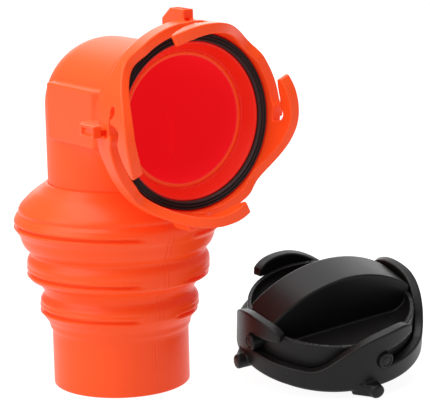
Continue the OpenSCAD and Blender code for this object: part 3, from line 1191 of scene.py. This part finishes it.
@dataclass
class Lugs:
    """Round lugs round the lower cap, each with a gusset that slopes into the wall at its side.

    The gusset goes from just inside the lug's tip, flat degrees round, to the end radius, end
    degrees round. It's thinner than the lug by the inset on both sides.
    """

    first: float
    across: float
    root_r: float
    tip_r: float
    flat: float = 1.5
    end: float = 13.0
    end_r: float = 51.0
    inset: float = 0.3
    short: float = 0.5

    def shape(self, at: Array) -> Array:
        """The lugs' field.

        Args:
            at: turn in degrees, radius and height.

        Returns:
            The distance, below 0 in the plastic.
        """
        turn, radius, height = at
        around = np.radians(45.0 - np.mod(turn - self.first + 45.0, 90.0))
        x, y = radius * np.cos(around), radius * np.sin(around)
        half, tip = self.across / 2, self.tip_r - self.short
        rod = round_both(np.hypot(y, height) - half, slab(x, self.root_r, self.tip_r), 1.1)
        corners = [(r * math.cos(math.radians(degrees)), r * math.sin(math.radians(degrees)))
                   for r, degrees in ((self.root_r, 0), (tip, 0), (tip, self.flat),
                                      (self.end_r, self.end), (self.root_r, self.end))]
        web = round_both(polygon_field(x, y, corners), np.abs(height) - half + self.inset, 1.0)
        return round_union(rod, web, 1.0)


def quarter_object(name: str, shape: Field, mean_r: float, radii: Pair, heights: Pair,
                   cell: float) -> bpy.types.Object:
    """Meshes one quarter of a ring on its own Z axis.

    Args:
        name: the piece's name.
        shape: the field over turn in degrees, radius and height.
        mean_r: the radius at which a cell is square.
        radii: the least and greatest radius.
        heights: the least and greatest height.
        cell: the size of a cell.

    Returns:
        The object.
    """
    scale = math.degrees(1 / mean_r)
    mesher = FieldMesher(lambda at: shape(np.stack([at[0] * scale, *at[1:]])),
                         (0, radii[0], heights[0]), (90 / scale, radii[1], heights[1]), cell, True)
    points, faces = mesher.surface()
    turn = np.radians(points[:, 0] * scale)
    placed = np.stack([points[:, 1] * np.cos(turn), points[:, 1] * np.sin(turn), points[:, 2]], 1)
    return mesh_object(name, placed * MM, faces[:, ::-1])


@dataclass
class BayonetCollar(SubAssembly):
    """The swivelling collar: a stepped base, the hooked wall and four fins.

    The slit is the degrees behind a tip where it starts and ends, and its width. The dimple is its
    degrees behind the tip, its height over the rim, and its half length, half height and depth.
    """

    hub_r: float = 40.3
    land_r: float = 47.0
    land_back: float = 63.3
    step: float = 75.2
    slit: Triple = (29.5, 34.5, 1.0)
    slit_depth: float = 1.8
    dimple: tuple[float, ...] = (37.0, 2.2, 3.0, 2.3, 4.2)
    cell: float = 0.62
    wall: HookedWall = field(default_factory=lambda: HookedWall(
        foot=74.5, rim=85.0, tip=25.4,
        crest=((0, 14.9), (2, 15.4), (5, 16.2), (9, 16.9), (14, 17.3), (19, 17.3), (24, 16.9),
               (28, 16.2), (33, 14.7), (38, 12.6), (42, 10.5), (46, 8.1), (50, 5.6), (54, 3.1),
               (58, 0.8), (62, -1.2), (66, -2.4), (70, -2.3), (74, -1.0), (78, 0.1), (84, 0)),
        roof=((0, 12.4), (1.5, 11.9), (4.5, 10.9), (9, 9.8), (13, 8.9), (16, 8.2), (19, 7.6),
              (20.5, 7.6), (22, 8.5), (24, 9.3), (26, 9.1), (28, 7.7), (29.3, 5.3), (29.8, 2.5),
              (30, 0)),
        bump=((-5, 0), (16, 0), (17.5, 0.1), (19.5, 0.9), (21, 1.4), (22.5, 1.1), (24, 0.3),
              (25, 0)),
        edge=0.6, ledge=1.2))
    fins: Fins = field(default_factory=Fins)

    def shape(self, at: Array) -> Array:
        """The collar's field.

        Args:
            at: turn in degrees, radius and height.

        Returns:
            The distance, below 0 in the plastic.
        """
        _, radius, height = at
        band, cavity = BAND_R - 0.6, CAVITY_R + 1
        base = ((self.hub_r, self.land_back), (self.land_r, self.land_back),
                (self.land_r, self.step - 3.2), (48.2, self.step - 2.0), (band, self.step - 0.8),
                (band, self.step + 0.4), (cavity, self.step + 0.4), (cavity, self.step),
                (self.hub_r, self.step))
        body = polygon_field(radius, height, base)
        body = round_union(body, self.wall.shape(at), 0.4)
        body = round_union(body, self.fins.shape(at), 0.8)
        body = round_cut(body, self.fins.pockets(at), 0.35)
        return round_cut(body, self._marks(at), 0.25)

    def _marks(self, at: Array) -> Array:
        """The field of the fine slit and the dimple in the outer face behind each slot.

        Args:
            at: turn in degrees, radius and height.

        Returns:
            The distance, below 0 in a mark.
        """
        turn, radius, height = at
        behind, over = self.wall.behind(turn), height - self.wall.rim
        start, end, width = self.slit
        slit = shared(slab(behind, start, end) * self.wall.scale, slab(over, 0, width),
                      BAND_R - self.slit_depth - radius)
        at, rise, long, tall, deep = self.dimple
        bowl = np.sqrt(((behind - at) * self.wall.scale / long) ** 2 + ((over - rise) / tall) ** 2
                       + ((radius - BAND_R) / deep) ** 2)
        return np.minimum(slit, (bowl - 1) * tall)

    def build(self) -> None:
        """Meshes a quarter, sets it out four times and hands the collar over."""
        made = quarter_object("bayonet_collar_ring", self.shape, 49, (39.2, 58.9), (57.0, 103.8),
                              self.cell)
        self.shop.repeated(made, Finish.COLLAR, Axis.MOUTH)
        self.shop.hand_over(made, Finish.COLLAR, "collar", "bayonet_collar")


@dataclass
class Grip:
    """The hollow arched bar across a cap, turned from the cap's X axis."""

    turn: float
    crown: float = 45.8
    half_w: float = 12.0
    half_len: float = 44.2
    arch_r: float = 67.0
    wall: float = 3.0

    def _bar(self, at: Array) -> tuple[Array, Array, Array]:
        """Measures points from the bar.

        Args:
            at: x, y and z in the caps' own frame, z towards the crown.

        Returns:
            The distances along the bar, beyond its side and over its arch.
        """
        (x, y, z), a = at, math.radians(self.turn)
        along, beside = x * math.cos(a) + y * math.sin(a), -x * math.sin(a) + y * math.cos(a)
        arch = np.hypot(along, z - self.crown + self.arch_r) - self.arch_r
        return along, np.abs(beside) - self.half_w, arch

    def shape(self, at: Array) -> Array:
        """The bar's outer field."""
        _, side, arch = self._bar(at)
        return round_both(arch, side, 0.8)

    def hollow(self, at: Array) -> Array:
        """The field of the space under the arch."""
        along, side, arch = self._bar(at)
        return round_both(np.maximum(arch, np.abs(along) - self.half_len) + self.wall,
                          side + self.wall, 1.0)


@dataclass
class BayonetCap(SubAssembly):
    """The lower cap: the hooked wall with its lugs, the plate, the plug's ring and the grip."""

    plate_top: float = 5.0
    plate_t: float = 3.0
    plate_r: float = CAVITY_R + 1.5
    plug_drop: float = 4.6
    cell: float = 0.72
    wall: HookedWall = field(default_factory=lambda: HookedWall(
        foot=0.0, rim=10.8, tip=54.5,
        crest=((0, 17.9), (3, 19.4), (6, 20.4), (10, 21.0), (15, 21.2), (23, 20.9), (30, 20.0),
               (38, 17.6), (45, 14.3), (50, 11.3), (54, 8.6), (59, 4.9), (64, 2.0), (68, 0.6),
               (72, 0), (78, 0), (84, 0)),
        roof=((0, 13.4), (2, 13.1), (5, 12.5), (9, 11.7), (14, 11.0), (18, 10.5), (22, 10.0),
              (24.5, 9.4), (26.7, 7.6), (28, 5.2), (27.4, 2.8), (25.5, 0.6), (22.5, -0.3), (19, 0)),
        bump=((-5, 0), (2, 0), (17.5, 0))))
    lugs: Lugs = field(default_factory=lambda: Lugs(
        first=24.0, across=7.8, root_r=45.2, tip_r=57.8))
    grip: Grip = field(default_factory=lambda: Grip(turn=24.0, crown=17.1))

    def ring(self, at: Array) -> Array:
        """The field of the wall and its lugs."""
        return round_union(self.wall.shape(at), self.lugs.shape(at), 0.8)

    def base(self, at: Array) -> Array:
        """The field of the plate, the plug's ring and the grip under it.

        Args:
            at: x, y and z in the caps' own frame.

        Returns:
            The distance, below 0 in the plastic.
        """
        x, y, z = at
        under = np.stack([x, y, -z])
        r, top = np.hypot(x, y), self.plate_top
        plate = np.maximum(r - self.plate_r, slab(z, top - self.plate_t, top))
        foot = np.maximum(slab(r, CUP_R - CUP_WALL, self.plate_r), slab(z, 0.0, top))
        plug = round_both(slab(r, CUP_R - CUP_WALL, CUP_R), slab(z, -self.plug_drop, top - 1), 0.7)
        bar = shared(self.grip.shape(under), z - top + 1, r - CUP_R + 0.7)
        solid = round_union(np.minimum(np.minimum(plate, foot), plug), bar, 1.0)
        return round_cut(solid, np.maximum(self.grip.hollow(under), z - top - 1), 0.6)

    def build(self) -> None:
        """Meshes the ring's quarter and the base, and hands both over."""
        ring = quarter_object("bayonet_cap_ring", self.ring, 49.5, (44.4, 59.4), (-5.4, 33.0),
                              self.cell)
        self.shop.repeated(ring, Finish.CAP, Axis.CAPS)
        self.shop.hand_over(ring, Finish.CAP, "lower_cap", "bayonet_cap")
        mesher = FieldMesher(self.base, (-49.5, -49.5, -18.4), (49.5, 49.5, 6.3), self.cell)
        points, faces = mesher.surface()
        base = mesh_object("bayonet_cap_base", Axis.CAPS.place(points), faces)
        self.shop.hand_over(base, Finish.CAP, "lower_cap", "bayonet_cap")


@dataclass
class CapGasket(SubAssembly):
    """The flat rubber ring in the lower cap, with a raised edge on both sides of its top."""

    outer: float = 46.3
    width: float = 7.6
    bottom: float = 5.0
    top: float = 8.0
    edge: float = 1.4
    edge_foot: float = 2.0
    edge_rise: float = 0.4
    spacing: float = 1.2
    turns: int = 144

    def build(self) -> None:
        """Lathes the ring and hands it over."""
        inner, outer = self.outer - self.width, self.outer
        top, low = self.top, self.top - self.edge_rise
        line = rounded_outline((
            (inner, self.bottom, 0.4), (outer, self.bottom, 0.4), (outer, top, 0.7),
            (outer - self.edge, top, 0.5), (outer - self.edge_foot, low, 0.5),
            (inner + self.edge_foot, low, 0.5), (inner + self.edge, top, 0.5), (inner, top, 0.7)),
            self.spacing)
        made = self.shop.lathed("cap_gasket_ring", line, Finish.GASKET, self.turns, Axis.CAPS)
        self.shop.hand_over(made, Finish.GASKET, "lower_cap", "cap_gasket")


@dataclass
class LugCap(SubAssembly):
    """The upper cap: a cup with a double lip, the arched grip and four cored pins.

    The dish is the radius in which the floor rises into the wall. The groove between the lips has
    its middle above the rim by its rise.
    """

    bottom: float = 8.3
    rim: float = 24.8
    floor: float = 15.5
    floor_t: float = 2.8
    dish: float = 8.5
    groove_r: float = 0.75
    groove_rise: float = 0.35
    pin_z: float = 15.7
    pin_r: float = 4.5
    pin_root: float = 1.6
    pin_tip_r: float = 53.8
    pin_turn: float = 31.0
    pin_turns: int = 40
    cell: float = 0.75
    grip: Grip = field(default_factory=lambda: Grip(turn=28.0))

    def cup(self, at: Array) -> Array:
        """The field of the cup, its floor and its grip.

        Args:
            at: x, y and z in the caps' own frame.

        Returns:
            The distance, below 0 in the plastic.
        """
        x, y, z = at
        r, inner, under = np.hypot(x, y), CUP_R - CUP_WALL, self.floor - self.floor_t
        wall = round_both(slab(r, inner, CUP_R), slab(z, self.bottom, self.rim), 0.6)
        groove = np.hypot(r - CUP_R + CUP_WALL / 2, z - self.rim - self.groove_rise) - self.groove_r
        wall = round_cut(wall, groove, 0.2)
        floor = np.maximum(r - CUP_R + 1, slab(z, under, self.floor))
        bar = shared(self.grip.shape(at), under - z, r - CUP_R + 0.7)
        sweep = self.dish - np.hypot(r - inner + self.dish, z - self.floor - self.dish)
        dish = shared(sweep, slab(r, inner - self.dish, inner + 0.6),
                      slab(z, self.floor - 0.6, self.floor + self.dish))
        solid = round_union(np.minimum(round_union(wall, floor, 1.2), dish), bar, 1.0)
        return round_cut(solid, np.maximum(self.grip.hollow(at), self.bottom - 5 - z), 0.6)

    def build(self) -> None:
        """Meshes the cup, lathes one pin, sets it out four times and hands all over."""
        mesher = FieldMesher(self.cup, (-47.5, -47.5, 7.4), (47.5, 47.5, 46.8), self.cell)
        points, faces = mesher.surface()
        made = mesh_object("lug_cap_cup", Axis.CAPS.place(points), faces)
        self.shop.hand_over(made, Finish.CAP, "upper_cap", "lug_cap")
        r, start, tip = self.pin_r, CUP_R - self.pin_root, self.pin_tip_r
        line = rounded_outline((
            (0.02, start, 0), (r, start, 0.2), (r, tip - 0.3, 0.8), (r - 1.0, tip, 0.3),
            (r - 1.3, tip - 0.5, 0.2), (r - 2.0, tip - 0.5, 0.2), (r - 2.4, tip - 0.15, 0.4),
            (0.02, tip, 0)), 0.7)
        pins = self.shop.lathed("lug_cap_pins", line, Finish.CAP, self.pin_turns)
        lift = Matrix.Translation((0, 0, self.pin_z * MM))
        pins.data.transform(turned(self.pin_turn, "Z") @ lift @ turned(90, "Y"))
        self.shop.repeated(pins, Finish.CAP, Axis.CAPS)
        self.shop.hand_over(pins, Finish.CAP, "upper_cap", "lug_cap")


@dataclass
class Studio:
    """A pale floor, soft lights and the camera, in metres, and degrees for its pitch and roll.

    A lamp is given by its name, place, side and watts, and all of them look at the aim. The fill is
    how bright the world is for everything but the camera, which sees it white.
    """

    eye: Triple = (-0.4853, -0.8503, 0.2982)
    right: Triple = (0.8396, -0.5432, 0.0)
    pitch: float = 11.42
    roll: float = -1.22
    lens: float = 150.7
    sensor: float = 36.0
    clip: Pair = (0.05, 20.0)
    aim: Triple = (0.03, -0.04, 0.09)
    lamps: tuple[tuple[str, Triple, float, float], ...] = (
        ("softbox_left", (-1.5, 0.05, 0.9), 1.5, 24.0),
        ("softbox_top", (-0.1, 0.0, 1.4), 1.5, 28.0),
        ("softbox_back", (0.9, 1.4, 0.9), 1.6, 17.0))
    fill: float = 0.35
    floor_half: float = 4.0
    floor_z: float = -0.0002
    paper: float = 0.16
    paper_glow: float = 0.93

    def _camera(self) -> None:
        """Adds the camera."""
        right = Vector(self.right).normalized()
        pitch, roll = math.radians(self.pitch), math.radians(self.roll)
        look = Vector((-right.y * math.cos(pitch), right.x * math.cos(pitch), -math.sin(pitch)))
        up = right.cross(look)
        c, s = math.cos(roll), math.sin(roll)
        x, y = right * c + up * s, up * c - right * s
        data = bpy.data.cameras.new("studio_camera")
        data.lens, data.sensor_width, data.sensor_fit = self.lens, self.sensor, "HORIZONTAL"
        data.clip_start, data.clip_end = self.clip
        made = make_object("studio_camera", data)
        turn = Matrix((x, y, -look)).transposed().to_4x4()
        made.matrix_world = Matrix.Translation(self.eye) @ turn
        bpy.context.scene.camera = made

    def _lamp(self, name: str, at: Triple, size: float, watts: float) -> None:
        """Args:
            name: the lamp's name.
            at: its place.
            size: its side.
            watts: its power.
        """
        data = bpy.data.lights.new(name, "AREA")
        data.size, data.energy = size, watts
        turn = (Vector(self.aim) - Vector(at)).to_track_quat("-Z", "Y").to_matrix().to_4x4()
        make_object(name, data).matrix_world = Matrix.Translation(at) @ turn

    def _floor(self) -> None:
        half, z = self.floor_half, self.floor_z
        corners = [(x * half, y * half, z) for x, y in ((-1, -1), (1, -1), (1, 1), (-1, 1))]
        mesh = bpy.data.meshes.new("studio_floor")
        mesh.from_pydata(corners, [], [(0, 1, 2, 3)])
        paper = bpy.data.materials.new("studio_paper")
        m = NodeMaker.blank(paper)
        m.node("ShaderNodeOutputMaterial", {"Surface": m.out("ShaderNodeBsdfPrincipled", {
            "Base Color": (self.paper, self.paper, self.paper, 1), "Roughness": 0.9,
            "Specular IOR Level": 0.0, "Emission Color": (1, 1, 1, 1),
            "Emission Strength": self.paper_glow})})
        mesh.materials.append(paper)
        floor = make_object("studio_floor", mesh)

    def build(self) -> None:
        """Adds the world, the floor, the lights and the camera."""
        world = bpy.data.worlds.new("studio_world")
        m = NodeMaker.blank(world)
        seen = m.out("ShaderNodeLightPath", output="Is Camera Ray")
        sky = m.out("ShaderNodeBackground", {
            "Color": (1, 1, 1, 1), "Strength": self.fill + seen * (1.0 - self.fill)})
        m.node("ShaderNodeOutputWorld", {"Surface": sky})
        bpy.context.scene.world = world
        bpy.context.scene.view_settings.view_transform = "Standard"
        self._floor()
        for lamp in self.lamps:
            self._lamp(*lamp)
        self._camera()


def main() -> None:
    logging.basicConfig(level=logging.INFO, format="%(name)s %(message)s")
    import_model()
    shop = Shop()
    for kind in (HoseAdapter, ElbowBody, MouthRings, BayonetCollar, BayonetCap, CapGasket, LugCap):
        kind(shop).build()
    Studio().build()


if __name__ == "__main__":
    main()
